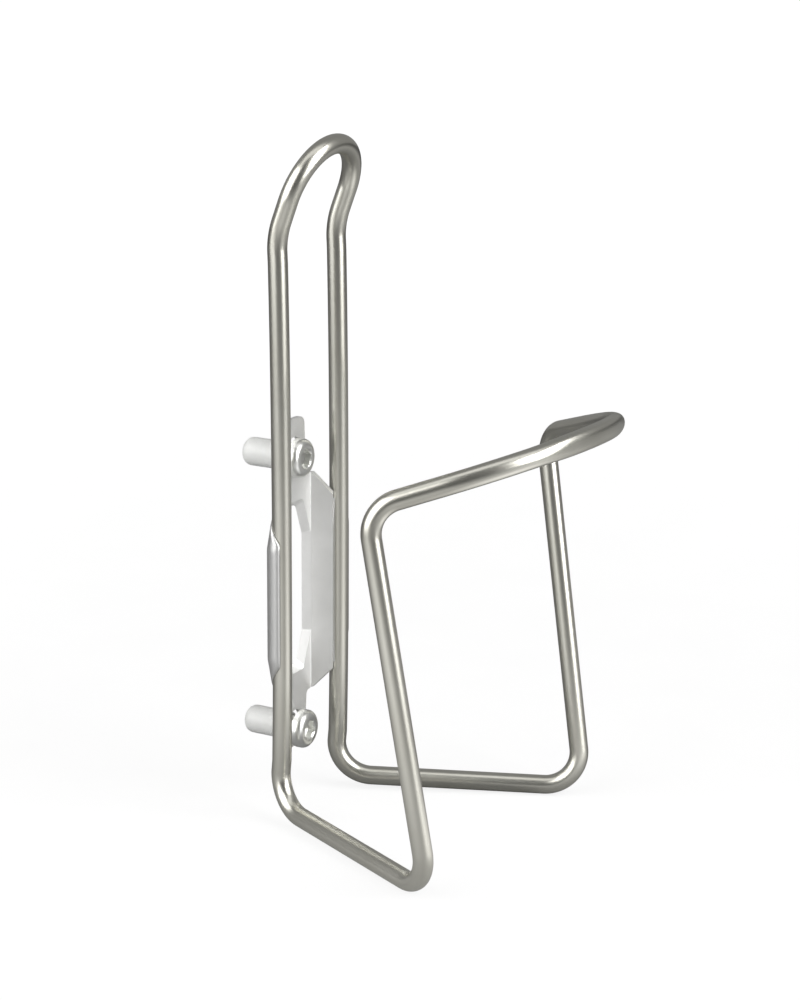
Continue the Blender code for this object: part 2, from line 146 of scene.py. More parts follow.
HEX_TURN = {"upper": radians(12), "lower": radians(41)}
SHANK_FLARE = 0.1 * MM
SHANK_LENGTH = 0.9 * MM
CORE_START = 1.2 * MM           # both from the back of the head
THREAD_RADIUS = 2.5 * MM
THREAD_PITCH = 0.8 * MM
THREAD_DEPTH = 0.46 * MM
THREAD_CREST_GAP = 0.01 * MM    # between the crest and the full thread radius
THREAD_BURIED = 0.15 * MM       # how deep the ridge's foot lies in the core
THREAD_ROOT_SHARE = 0.46        # half the ridge's width at its foot, as a share of the pitch
THREAD_CREST_SHARE = 0.07       # and at its crest
THREAD_FADE_TURNS = 0.6
THREAD_END_WIDTH = 0.3          # share of the ridge's width left at its ends
THREAD_END_GAP = 0.35 * MM
TIP_CHAMFER = 0.4 * MM
BOLT_LENGTH = 12.0 * MM
CAP_OPEN_Y = WEB_BACK_Y + 0.3 * MM
CAP_OUTER_RADIUS = 3.25 * MM
CAP_BORE_RADIUS = 2.6 * MM
CAP_TIP_Y = 16.2 * MM
CAP_FLOOR_Y = 15.4 * MM
CAP_FLOOR_CHAMFER = 0.4 * MM
CAP_RIM_ROUNDING = 0.22 * MM
CAP_DOME_HEIGHT = 1.9 * MM
CAP_DOME_POWER = 1.05

# ---- datum -----------------------------------------------------------------------------------
upper_low, upper_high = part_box("upper_bolt")
lower_low, lower_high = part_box("lower_bolt")
DATUM = Vector((
    0.0,
    upper_low[1] - (UPPER_HEAD_BASE_Y - HEAD_HEIGHT),
    (upper_low[2] + upper_high[2] + lower_low[2] + lower_high[2]) / 4 - BOLT_CENTRE_Z,
))

# ---- studio, in metres, degrees and watts ----------------------------------------------------
CAMERA_AZIMUTH = radians(-59.986)
CAMERA_ELEVATION = radians(14.631)
CAMERA_ROLL = radians(0.407)
CAMERA_DISTANCE = 563.13 * MM
CAMERA_LENS = 92.226            # in millimetres, on a sensor 36 mm wide
CAMERA_TARGET = Vector((0.0, -23.932, 25.191)) * MM
FLOOR_HALF_SIZE = 8.0
FLOOR_DROP = 0.0002             # how far the floor lies below the cage
FLOOR_DIM = 0.02                # the floor's own glow, as metal sees it outside the patches
# Across from the camera, reach, radius and glow of the brighter patches that metal sees on the floor.
LIT_PATCHES = (
    (-33, 0.22, 0.24, 0.95),
    (124, 0.36, 0.30, 0.30),
    (64, 0.24, 0.20, 0.80),
    (64, 0.09, 0.08, 1.30),
)
STUDIO_BEHIND = 0.27            # the world's brightness behind the cage
STUDIO_IN_FRONT = 0.08          # and on the camera's side
STUDIO_FADE = (-0.6, 0.8)       # cosines of the angle to the camera's side, where the fade starts and ends
LIGHT_DISTANCE = 1.0
# Name, degrees across from the camera and up from the floor, width and height, power of each light.
LIGHTS = (
    ("right_box", 62, 22, (0.70, 1.15), 10.8),
    ("left_box", -57, 22, (1.15, 1.15), 11.2),
    ("top_box", 0, 80, (1.1, 0.55), 1.7),
)


# ---- helpers ---------------------------------------------------------------------------------

def make_object(name, verts, faces, material=None, sharp=radians(30)):
    """A smooth-shaded mesh object, its vertices given in the cage's own frame."""
    mesh = bpy.data.meshes.new(name)
    mesh.from_pydata([tuple(Vector(v) + DATUM) for v in verts], [], faces)
    bm = bmesh.new()
    bm.from_mesh(mesh)
    bmesh.ops.recalc_face_normals(bm, faces=bm.faces)
    bm.to_mesh(mesh)
    bm.free()
    mesh.shade_smooth()
    if sharp:
        mesh.set_sharp_from_angle(angle=sharp)
    if material:
        mesh.materials.append(material)
    obj = bpy.data.objects.new(name, mesh)
    bpy.context.scene.collection.objects.link(obj)
    return obj


def apply_modifiers(obj):
    """Bake an object's modifiers into its mesh."""
    depsgraph = bpy.context.evaluated_depsgraph_get()
    mesh = bpy.data.meshes.new_from_object(obj.evaluated_get(depsgraph))
    obj.modifiers.clear()
    obj.data = mesh


def boolean(obj, other, operation):
    """Join to, or cut from, obj the solid other, which is used up."""
    modifier = obj.modifiers.new(operation.lower(), "BOOLEAN")
    modifier.operation = operation
    modifier.solver = "EXACT"
    modifier.object = other
    apply_modifiers(obj)
    bpy.data.objects.remove(other, do_unlink=True)


def round_edges(obj, width):
    """Round an object's sharp edges."""
    bevel = obj.modifiers.new("rounded_edges", "BEVEL")
    bevel.width = width
    bevel.segments = 3
    bevel.limit_method = "ANGLE"
    bevel.angle_limit = radians(28)
    bevel.use_clamp_overlap = True
    bevel.harden_normals = True
    obj.modifiers.new("even_normals", "WEIGHTED_NORMAL").keep_sharp = True
    apply_modifiers(obj)


# ---- materials -------------------------------------------------------------------------------

class Nodes:
    """Short names for building a material's node tree."""

    def __init__(self, name):
        self.material = bpy.data.materials.new(name)
        self.material.use_nodes = True
        self.tree = self.material.node_tree
        self.shader = self.tree.nodes["Principled BSDF"]
        self.place = self.add("ShaderNodeTexCoord").outputs["Object"]

    def add(self, kind, **inputs):
        """A node, with its named inputs set or linked."""
        node = self.tree.nodes.new(kind)
        for key, value in inputs.items():
            self.put(node, key.replace("_", " "), value)
        return node

    def put(self, node, key, value):
        """Set an input, or link a socket to it."""
        if isinstance(value, bpy.types.NodeSocket):
            self.tree.links.new(value, node.inputs[key])
        else:
            node.inputs[key].default_value = value

    def noise(self, scale, detail, stretch=(1, 1, 1)):
        """Noise fixed to the object, stretched along its axes."""
        mapping = self.add("ShaderNodeMapping", Vector=self.place, Scale=stretch)
        noise = self.add(
            "ShaderNodeTexNoise", Vector=mapping.outputs["Vector"],
            Scale=scale, Detail=detail, Roughness=0.55,
        )
        return noise.outputs["Fac"]

    def spread(self, value, low, high, from_low=0.3, from_high=0.7):
        """Map a value from one range to another."""
        node = self.tree.nodes.new("ShaderNodeMapRange")
        self.put(node, "Value", value)
        self.put(node, "From Min", from_low)
        self.put(node, "From Max", from_high)
        self.put(node, "To Min", low)
        self.put(node, "To Max", high)
        return node.outputs["Result"]

    def ramp(self, value, stops):
        """A colour ramp from (position, colour) stops."""
        node = self.add("ShaderNodeValToRGB", Fac=value)
        elements = node.color_ramp.elements
        while len(elements) < len(stops):
            elements.new(0.5)
        for element, (position, colour) in zip(elements, stops):
            element.position = position
            element.color = (*colour, 1.0)
        return node.outputs["Color"]

    def bump(self, height, distance, strength, normal=None):
        """A bump node, which may sit on top of another."""
        node = self.add("ShaderNodeBump", Height=height, Distance=distance, Strength=strength)
        if normal:
            self.put(node, "Normal", normal)
        return node.outputs["Normal"]


def rod_material():
    """Drawn aluminium rod under a satin, faintly warm anodised finish."""
    n = Nodes("satin_rod")
    cloud = n.noise(scale=55.0, detail=3.0)
    grain = n.noise(scale=2600.0, detail=3.0)
    fine = n.noise(scale=9000.0, detail=2.0)
    n.put(n.shader, "Base Color", n.ramp(cloud, (
        (0.30, (0.640, 0.628, 0.560)),
        (0.55, (0.665, 0.654, 0.590)),
        (0.75, (0.690, 0.681, 0.618)),
    )))
    n.put(n.shader, "Metallic", 1.0)
    n.put(n.shader, "Roughness", n.spread(grain, 0.275, 0.30))
    waves = n.bump(cloud, distance=0.00002, strength=0.06)
    n.put(n.shader, "Normal", n.bump(fine, distance=0.0000015, strength=0.05, normal=waves))
    return n.material


def sheet_material(name, painted_shade_factor, smooth, rough):
    """Pressed aluminium sheet with a matt, slightly tumbled surface; pressing burnishes it. The second
    argument, when below 1, darkens every colour as painted shade.
    """
    n = Nodes(name)
    cloud = n.noise(scale=130.0, detail=4.0)
    grain = n.noise(scale=1500.0, detail=5.0, stretch=(1.0, 1.0, 0.25))
    fine = n.noise(scale=6000.0, detail=2.0)
    # Colour stops scaled by the shade factor; a factor below 1 is painted shade.
    n.put(n.shader, "Base Color", n.ramp(cloud, (
        (0.30, (0.880 * painted_shade_factor, 0.880 * painted_shade_factor, 0.865 * painted_shade_factor)),
        (0.55, (0.915 * painted_shade_factor, 0.915 * painted_shade_factor, 0.903 * painted_shade_factor)),
        (0.75, (0.940 * painted_shade_factor, 0.940 * painted_shade_factor, 0.930 * painted_shade_factor)),
    )))
    n.put(n.shader, "Metallic", 0.9)
    n.put(n.shader, "Roughness", n.spread(grain, smooth, rough))
    coarse = n.bump(grain, distance=0.000012, strength=0.12)
    n.put(n.shader, "Normal", n.bump(fine, distance=0.000006, strength=0.10, normal=coarse))
    return n.material


def steel_material():
    """Bright stainless steel with faint turning marks."""
    n = Nodes("bolt_steel")
    cloud = n.noise(scale=300.0, detail=3.0)
    fine = n.noise(scale=5000.0, detail=3.0)
    n.put(n.shader, "Base Color", n.ramp(cloud, (
        (0.30, (0.800, 0.805, 0.775)),
        (0.70, (0.870, 0.872, 0.845)),
    )))
    n.put(n.shader, "Metallic", 1.0)
    n.put(n.shader, "Roughness", n.spread(cloud, 0.29, 0.35))
    n.put(n.shader, "Normal", n.bump(fine, distance=0.00001, strength=0.08))
    return n.material


def vinyl_material():
    """Soft, milky vinyl that lets a little light through."""
    n = Nodes("cap_vinyl")
    cloud = n.noise(scale=250.0, detail=3.0)
    fine = n.noise(scale=3000.0, detail=3.0)
    n.put(n.shader, "Base Color", n.ramp(cloud, (
        (0.30, (0.720, 0.724, 0.706)),
        (0.70, (0.780, 0.784, 0.766)),
    )))
    n.put(n.shader, "Roughness", n.spread(fine, 0.26, 0.36))
    n.put(n.shader, "Subsurface Weight", 0.35)
    n.put(n.shader, "Subsurface Radius", (1.0, 1.0, 0.95))
    n.put(n.shader, "Subsurface Scale", 0.0008)
    n.put(n.shader, "Normal", n.bump(cloud, distance=0.00004, strength=0.12))
    return n.material


# ---- rod -------------------------------------------------------------------------------------

def bend_points(before, corner, after, radius, step=BEND_STEP):
    """Points of the arc that rounds the corner of a bent rod."""
    back = (before - corner).normalized()
    ahead = (after - corner).normalized()
    turn = pi - back.angle(ahead)
    start = corner + back * radius * tan(turn / 2)
    towards_centre = back.cross(ahead).normalized().cross(back).normalized()
    centre = start + towards_centre * radius
    steps = max(3, ceil(turn / step))
    points = []
    for i in range(steps + 1):
        angle = turn * i / steps
        points.append(centre - towards_centre * radius * cos(angle) - back * radius * sin(angle))
    return points


def straight_points(start, end):
    """Points between two ends, without the ends."""
    steps = ceil((end - start).length / STRAIGHT_STEP)
    return [start.lerp(end, i / steps) for i in range(1, steps)]


def ring_point(angle):
    """A point of the ring, at an angle from the front in plan."""
    y = RING_CENTRE_Y - RING_RADIUS * cos(angle)
    z = RISER_TOP.z + (RISER_TOP.y - y) * tan(RING_RISE)
    return Vector((RING_RADIUS * sin(angle), y, z))


def upright_y(z):
    """How far an upright bows towards the bottle, which is a negative Y."""
    if z > BOW_Z:
        share = (z - BOW_Z) / (UPRIGHT_TOP_Z - BOW_Z)
        return BOW_Y * (1 - share ** BOW_UPPER_POWER)
    share = (BOW_Z - z) / (BOW_Z - UPRIGHT_BASE_Z)
    return BOW_Y + (UPRIGHT_BASE_Y - BOW_Y) * share ** BOW_LOWER_POWER


def half_centreline():
    """The rod's centreline at X >= 0, from the ring's front to the hook's top, and its flatness."""
    dx = RISER_TOP.x
    dy = RISER_TOP.y - RING_CENTRE_Y
    end_angle = atan2(dy, dx) - acos(RING_RADIUS / hypot(dx, dy)) + pi / 2
    ring_steps = 60
    angles = [end_angle * i / ring_steps for i in range(ring_steps + 1)]
    points = [ring_point(angle) for angle in angles]
    flatness = []
    for angle in angles:
        fade = (BAND_END_ANGLE - angle) / (BAND_END_ANGLE - BAND_FLAT_ANGLE)
        fade = min(1.0, max(0.0, fade))
        flatness.append(fade * fade * (3 - 2 * fade))

    lean = Vector((0, -sin(HOOK_LEAN), cos(HOOK_LEAN)))
    hook_corner = Vector((UPRIGHT_HALF, 0, UPRIGHT_TOP_Z))
    hook_start = hook_corner + lean * HOOK_LEG
    base_corner = Vector((UPRIGHT_HALF, UPRIGHT_BASE_Y, UPRIGHT_BASE_Z))

    parts = [
        bend_points(points[-1], RISER_TOP, RISER_FOOT, RISER_TOP_RADIUS),
        bend_points(RISER_TOP, RISER_FOOT, base_corner, RISER_FOOT_RADIUS),
        bend_points(RISER_FOOT, base_corner, hook_corner, BASE_BEND_RADIUS),
    ]
    for part in parts:
        points += straight_points(points[-1], part[0])
        points += part
    hook_bend = bend_points(base_corner, hook_corner, hook_start, HOOK_BEND_RADIUS)
    upright = straight_points(points[-1], hook_bend[0])
    for point in upright:
        point.y = upright_y(point.z)
    points += upright + hook_bend
    points += straight_points(hook_bend[-1], hook_start)

    hook_centre = Vector((0, hook_start.y, hook_start.z))
    across = Vector((UPRIGHT_HALF, 0, 0))
    arc_steps = 40
    for i in range(arc_steps + 1):
        angle = pi / 2 * i / arc_steps
        points.append(hook_centre + across * cos(angle) + lean * UPRIGHT_HALF * sin(angle))
    points[-1].x = 0.0
    flatness += [0.0] * (len(points) - len(flatness))
    return points, flatness


def power(value, exponent):
    """A signed power, for rounded-square sections."""
    return abs(value) ** exponent * (1 if value >= 0 else -1)


def make_rod(material):
    """The rod as one smooth closed sweep."""
    points, flatness = half_centreline()
    last = len(points) - 1
    sections = []
    outward = Vector((0, -1, 0))
    for i, point in enumerate(points):
        if i in (0, last):
            tangent = Vector((1 if i == 0 else -1, 0, 0))
        else:
            tangent = (points[i + 1] - points[i - 1]).normalized()
        outward = (outward - tangent * outward.dot(tangent)).normalized()
        upward = tangent.cross(outward)
        height = ROD_RADIUS + (BAND_HALF_HEIGHT - ROD_RADIUS) * flatness[i]
        thickness = ROD_RADIUS + (BAND_HALF_THICKNESS - ROD_RADIUS) * flatness[i]
        squareness = 1 - BAND_SQUARENESS * flatness[i]
        section = []
        for k in range(ROD_SIDES):
            angle = 2 * pi * k / ROD_SIDES
            rise = upward * height * power(cos(angle), squareness)
            reach = outward * thickness * power(sin(angle), squareness)
            section.append(point + rise + reach)
        sections.append(section)
    for section in sections[:-1][:0:-1]:
        sections.append([Vector((-v.x, v.y, v.z)) for v in section])
    verts = [v for section in sections for v in section]
    faces = []
    for i in range(len(sections)):
        here = i * ROD_SIDES
        there = (i + 1) % len(sections) * ROD_SIDES
        for a in range(ROD_SIDES):
            b = (a + 1) % ROD_SIDES
            faces.append((here + a, here + b, there + b, there + a))
    rod = make_object("rod_loop_surface", verts, faces, material, sharp=None)
    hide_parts("rod_loop")
    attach(rod, "cage")


# ---- bracket ---------------------------------------------------------------------------------

def faces_between(count):
    """The two ends and the sides of a solid between two outlines with equally many points."""
    faces = [tuple(range(count)), tuple(range(2 * count - 1, count - 1, -1))]
    for i in range(count):
        j = (i + 1) % count
        faces.append((i, j, j + count, i + count))
    return faces


def prism(name, outline, axis, start, end, material=None):
    """A solid between two copies of a flat outline; axis is Y for front views, Z for plans."""
    verts = []
    for level in (start, end):
        for a, b in outline:
            verts.append((a, level, b) if axis == "Y" else (a, b, level))
    return make_object(name, verts, faces_between(len(outline)), material)


def loft(name, outline_start, start_y, outline_end, end_y):
    """A closed solid between two outlines seen from the front, about the bracket's middle."""
    verts = [(a, start_y, b + BRACKET_CENTRE_Z) for a, b in outline_start]
    verts += [(a, end_y, b + BRACKET_CENTRE_Z) for a, b in outline_end]
    return make_object(name, verts, faces_between(len(outline_start)))


def arc(centre, radius, start, end, steps):
    """Points of an arc in a flat outline; angles in degrees."""
    points = []
    for i in range(steps + 1):
        angle = radians(start + (end - start) * i / steps)
        points.append((centre[0] + radius * cos(angle), centre[1] + radius * sin(angle)))
    return points


def window_corners():
    """The corners of the six-sided window, whose points are cut short."""
    quarter = [(WINDOW_HALF_WIDTH, WINDOW_CORNER_Z), (WINDOW_APEX_HALF_WIDTH, WINDOW_APEX_Z)]
    top = quarter + [(-x, z) for x, z in reversed(quarter)]
    return [Vector((x, 0, z)) for x, z in top] + [Vector((-x, 0, -z)) for x, z in top]


def window_outline(inset):
    """The window's outline set in by a distance, with rounded corners."""
    corners = window_corners()
    count = len(corners)
    moved = []
    for i, corner in enumerate(corners):
        back = (corners[i - 1] - corner).normalized()
        ahead = (corners[(i + 1) % count] - corner).normalized()
        moved.append(corner + (back + ahead).normalized() * inset / sin(back.angle(ahead) / 2))
    steps = 6
    outline = []
    for i, corner in enumerate(moved):
        before = moved[i - 1]
        after = moved[(i + 1) % count]
        turn = pi - (before - corner).angle(after - corner)
        room = 0.45 * min((before - corner).length, (after - corner).length)
        reach = min(WINDOW_CORNER_RADIUS, room / tan(turn / 2))
        # The step is a hair long, so that rounding never adds a point to the corner.
        points = bend_points(before, corner, after, reach, turn / steps * 1.001)
        outline += [(p.x, p.z) for p in points]
    return outline


def web_outline():
    """The web and its tabs, seen from the front."""
    quarter = [
        (FOLD_X - FOLD_RADIUS, FOLD_HALF_HEIGHT),
        (TAB_ROOT_HALF_WIDTH, TAB_ROOT_Z),
        (TAB_NECK_HALF_WIDTH, TAB_NECK_Z),
        (TAB_TIP_HALF_WIDTH, TAB_TIP_Z),
    ]
    corner = (TAB_CORNER_X, TAB_HALF_LENGTH - TAB_CORNER_RADIUS)
    quarter += arc(corner, TAB_CORNER_RADIUS, start=5, end=90, steps=8)
    top = quarter + [(-x, z) for x, z in reversed(quarter)]
    outline = top + [(-x, (LOWER_TAB_TRIM if z >= TAB_TIP_Z else 0) - z) for x, z in top]
    return [(x, z + BRACKET_CENTRE_Z) for x, z in outline]


def degrees_of(vector):
    """The direction of a plan vector in degrees."""
    return atan2(vector.y, vector.x) * 180 / pi


def wing_plan(side):
    """The fold and wing in plan, as one closed outline."""
    centre = (FOLD_X - FOLD_RADIUS, WEB_FRONT_Y - FOLD_RADIUS)
    run = Vector((WING_FRONT_X - FOLD_X, WING_FRONT_Y - centre[1]))
    lean = degrees_of(run) + 90
    inner = arc(centre, FOLD_RADIUS, 90, lean, 6)
    outer = arc(centre, FOLD_RADIUS + SHEET, 90, lean, 10)
    normal = Vector((-run.y, run.x)).normalized()
    front = Vector((WING_FRONT_X, WING_FRONT_Y))
    back = front + normal * SHEET
    over = 0.5 * MM
    start = [(centre[0] - over, WEB_BACK_Y), (centre[0] - over, WEB_FRONT_Y)]
    outline = start + inner + [tuple(front), tuple(back)] + outer[::-1]
    return [(side * x, y) for x, y in outline]


def block_beyond(plane_points, top):
    """A large block on a slanted face through three points; top is 1 above them, -1 below."""
    a, b, c = [Vector(p) for p in plane_points]
    normal = (b - a).cross(c - a).normalized()
    if normal.z * top < 0:
        normal.negate()
    middle = (a + b + c) / 3
    u = (b - a).normalized()
    v = normal.cross(u)
    size = 40 * MM
    verts = []
    for lift in (0.0, size):
        for p, q in ((-1, -1), (1, -1), (1, 1), (-1, 1)):
            verts.append(middle + (u * p + v * q) * size + normal * lift)
    return make_object("block", verts, faces_between(4))


def make_wing(side):
    """One wing with its fold, its top and bottom edges cut at a slant."""
    wing = prism(
        "wing", wing_plan(side), "Z",
        BRACKET_CENTRE_Z - FOLD_HALF_HEIGHT, BRACKET_CENTRE_Z + FOLD_HALF_HEIGHT,
    )
    for top in (1, -1):
        high = BRACKET_CENTRE_Z + top * FOLD_HALF_HEIGHT
        low = BRACKET_CENTRE_Z + top * WING_FRONT_HALF_HEIGHT
        slant_y = WEB_FRONT_Y - WING_SLANT_START
        points = ((0, slant_y, high), (side * FOLD_X, slant_y, high), (0, WING_FRONT_Y, low))
        boolean(wing, block_beyond(points, top), "DIFFERENCE")
    return wing


def make_crimp(side, label, material):
    """The channel pressed round the back of an upright; it thins and shortens at both ends."""
    across = 40             # facets round the upright, and along it
    along = 60
    inner = []
    outer = []
    for j in range(along + 1):
        height = CRIMP_HALF_HEIGHT * (2 * j / along - 1)
        taper = (CRIMP_HALF_HEIGHT - abs(height)) / (CRIMP_HALF_HEIGHT - CRIMP_FULL_HALF_HEIGHT)
        taper = min(1.0, taper)
        wrap = min(1.0, CRIMP_WRAP_GAIN * taper)
        end = CRIMP_END_AT_TIP + (CRIMP_END - CRIMP_END_AT_TIP) * wrap
        fullness = taper ** CRIMP_TAPER_POWER
        thickness = SHEET * (CRIMP_TIP_THICKNESS + (1 - CRIMP_TIP_THICKNESS) * fullness)
        for i in range(across + 1):
            share = i / across
            angle = radians(CRIMP_START + (end - CRIMP_START) * share)
            rim = sin(pi * min(1.0, (1 - share) * CRIMP_EDGE_GAIN) / 2) ** 0.5
            body = CRIMP_EDGE_THICKNESS + (1 - CRIMP_EDGE_THICKNESS) * rim
            reach = CRIMP_RADIUS + thickness * body
            z = BRACKET_CENTRE_Z + height
            for radius, ring in ((CRIMP_RADIUS, inner), (reach, outer)):
                x = side * (CRIMP_X + radius * cos(angle))
                ring.append((x, CRIMP_Y + radius * sin(angle), z))
    verts = inner + outer
    offset = len(inner)
    faces = []
    for j in range(along):
        for i in range(across):
            a = j * (across + 1) + i
            b = a + across + 1
            faces.append((a, a + 1, b + 1, b))
            faces.append((a + offset, b + offset, b + 1 + offset, a + 1 + offset))
    border = list(range(across + 1))
    border += [(j + 1) * (across + 1) - 1 for j in range(1, along + 1)]
    border += [along * (across + 1) + i for i in range(across - 1, -1, -1)]
    border += [j * (across + 1) for j in range(along - 1, 0, -1)]
    for a, b in zip(border, border[1:] + border[:1]):
        faces.append((a, b, b + offset, a + offset))
    crimp = make_object(label + "_crimp_surface", verts, faces, material, radians(40))
    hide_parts("mounting_bracket")
    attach(crimp, "cage")


def make_bracket(material):
    """The pressed bracket without its crimps: web, tabs, wings, window with its lip, slots."""
    bracket = prism("mounting_bracket_surface", web_outline(), "Y", WEB_FRONT_Y, WEB_BACK_Y, material)
    for side in (1, -1):
        boolean(bracket, make_wing(side), "UNION")
    # The lip turns back at 45 degrees, so in the web's plane its sheet is this thick.
    slant = SHEET * 2 ** 0.5
    root_y = WEB_FRONT_Y + SHEET / 2
    end_y = WEB_FRONT_Y + WINDOW_LIP_DEPTH
    lip = loft(
        "lip",
        window_outline(root_y - WEB_FRONT_Y - slant), root_y,
        window_outline(WINDOW_LIP_DEPTH - slant), end_y,
    )
    boolean(bracket, lip, "UNION")
    over = 0.2 * MM
    window = loft(
        "window",
        window_outline(-over), WEB_FRONT_Y - over,
        window_outline(WINDOW_LIP_DEPTH + over), end_y + over,
    )
    boolean(bracket, window, "DIFFERENCE")
    straight = SLOT_LENGTH / 2 - SLOT_HALF_WIDTH
    for side in (1, -1):
        middle = BRACKET_CENTRE_Z + SLOT_SHIFT + side * SLOT_SPACING / 2
        outline = arc((0, middle + straight), SLOT_HALF_WIDTH, 0, 180, 20)
        outline += arc((0, middle - straight), SLOT_HALF_WIDTH, 180, 360, 20)
        slot = prism("slot", outline, "Y", WEB_FRONT_Y - MM, WEB_BACK_Y + MM)
        boolean(bracket, slot, "DIFFERENCE")
    round_edges(bracket, EDGE_ROUNDING)
    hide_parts("mounting_bracket")
    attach(bracket, "cage")


# ---- bolts and caps --------------------------------------------------------------------------

def turned(name, profile, sides, material=None, z=0.0, sharp=radians(30)):
    """A solid turned about Y, from (radius, y) points that start and end on the axis."""
    verts = [(0, profile[0][1], z)]
    for radius, y in profile[1:-1]:
        for k in range(sides):
            angle = 2 * pi * k / sides
            verts.append((radius * cos(angle), y, z + radius * sin(angle)))
    verts.append((0, profile[-1][1], z))
    rings = len(profile) - 2
    faces = []
    for k in range(sides):
        following = (k + 1) % sides
        faces.append((0, 1 + k, 1 + following))
        for i in range(rings - 1):
            a = 1 + i * sides
            b = a + sides
            faces.append((a + k, a + following, b + following, b + k))
        a = 1 + (rings - 1) * sides
        faces.append((a + k, len(verts) - 1, a + following))
    return make_object(name, verts, faces, material, sharp)


def make_bolt(label, z, base, material):
    """A low-head cap screw: rounded head with a hex socket, and a cut thread."""
    front = base - HEAD_HEIGHT
    tip = base + BOLT_LENGTH
    core = THREAD_RADIUS - THREAD_DEPTH
    profile = [(0, front)]
    edge = HEAD_FRONT_ROUNDING
    for i in range(9):
        angle = pi / 2 * i / 8
        profile.append((HEAD_RADIUS - edge * (1 - sin(angle)), front + edge * (1 - cos(angle))))
    profile += [
        (HEAD_RADIUS, base - HEAD_BACK_CHAMFER),
        (HEAD_RADIUS - HEAD_BACK_CHAMFER, base),
        (THREAD_RADIUS + SHANK_FLARE, base),
        (THREAD_RADIUS, base + SHANK_FLARE),
        (THREAD_RADIUS, base + SHANK_LENGTH),
        (core, base + CORE_START),
        (core, tip - TIP_CHAMFER),
        (core - TIP_CHAMFER, tip),
        (0, tip),
    ]
    bolt = turned(label + "_bolt_surface", profile, sides=72, material=material, z=z)
    corner_radius = SOCKET_ACROSS_FLATS / 2 / cos(pi / 6)
    turns = [HEX_TURN[label] + pi / 3 * k for k in range(6)]
    hexagon = [(corner_radius * cos(turn), z + corner_radius * sin(turn)) for turn in turns]
    socket = prism("socket", hexagon, "Y", front - MM, front + SOCKET_DEPTH)
    boolean(bolt, socket, "DIFFERENCE")
    mouth = turned("mouth", [
        (0, front - MOUTH_LIFT),
        (corner_radius + MOUTH_REACH, front - MOUTH_LIFT),
        (corner_radius - MOUTH_REACH, front + MOUTH_DEPTH),
        (0, front + MOUTH_DEPTH),
    ], sides=48, z=z)
    boolean(bolt, mouth, "DIFFERENCE")
    bottom = front + SOCKET_DEPTH
    drill = turned("drill", [
        (0, bottom - DRILL_OVERLAP),
        (DRILL_RADIUS, bottom - DRILL_OVERLAP),
        (DRILL_RADIUS, bottom - DRILL_SHOULDER),
        (0, bottom + DRILL_POINT),
    ], sides=32, z=z)
    boolean(bolt, drill, "DIFFERENCE")
    thread = make_thread(label, z, core, base + SHANK_LENGTH, tip - THREAD_END_GAP, material)
    bolt.data.set_sharp_from_angle(angle=radians(28))
    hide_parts(label + "_bolt")
    for piece in (bolt, thread):
        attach(piece, label + "_screw")


def make_thread(label, z, core, start_y, end_y, material):
    """The thread's helical ridge, which fades in and out at its ends."""
    turns = (end_y - start_y) / THREAD_PITCH
    per_turn = 40
    steps = ceil(turns * per_turn)
    foot = core - THREAD_BURIED
    root = THREAD_PITCH * THREAD_ROOT_SHARE
    flat = THREAD_PITCH * THREAD_CREST_SHARE
    verts = []
    for i in range(steps + 1):
        share = i / steps
        angle = 2 * pi * turns * share
        fade = min(1.0, share * turns / THREAD_FADE_TURNS, (1 - share) * turns / THREAD_FADE_TURNS)
        width = THREAD_END_WIDTH + (1 - THREAD_END_WIDTH) * fade
        crest = core + (THREAD_DEPTH - THREAD_CREST_GAP) * fade
        y = start_y + (end_y - start_y) * share
        for radius, shift in ((foot, -root), (crest, -flat), (crest, flat), (foot, root)):
            verts.append((radius * cos(angle), y + shift * width, z + radius * sin(angle)))
    faces = [(0, 1, 2, 3)]
    for i in range(steps):
        a = 4 * i
        for k in range(4):
            j = (k + 1) % 4
            faces.append((a + k, a + j, a + 4 + j, a + 4 + k))
    end = 4 * steps
    faces.append((end + 3, end + 2, end + 1, end))
    return make_object(label + "_bolt_thread", verts, faces, material, radians(25))


def make_cap(label, z, material):
    """A dipped vinyl cap with a soft, domed end and a rounded open rim."""
    rim = CAP_RIM_ROUNDING
    dome = CAP_DOME_HEIGHT
    profile = [(0, CAP_FLOOR_Y), (CAP_BORE_RADIUS - CAP_FLOOR_CHAMFER, CAP_FLOOR_Y)]
    profile.append((CAP_BORE_RADIUS, CAP_FLOOR_Y - CAP_FLOOR_CHAMFER))
    for i in range(5):
        angle = pi / 2 * i / 4
        profile.append((CAP_BORE_RADIUS + rim * (1 - cos(angle)), CAP_OPEN_Y + rim * (1 - sin(angle))))
    for i in range(5):
        angle = pi / 2 * i / 4
        profile.append((CAP_OUTER_RADIUS - rim * (1 - sin(angle)), CAP_OPEN_Y + rim * (1 - cos(angle))))
    for i in range(17):
        angle = pi / 2 * i / 16
        profile.append((
            CAP_OUTER_RADIUS - dome * (1 - cos(angle)) ** CAP_DOME_POWER,
            CAP_TIP_Y - dome * (1 - sin(angle)),
        ))
    profile.append((0, CAP_TIP_Y))
    cap = turned(
        label + "_thread_cap_surface", profile, sides=64, material=material, z=z, sharp=radians(50),
    )
    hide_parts(label + "_thread_cap")
    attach(cap, label + "_cap")


# ---- studio ----------------------------------------------------------------------------------

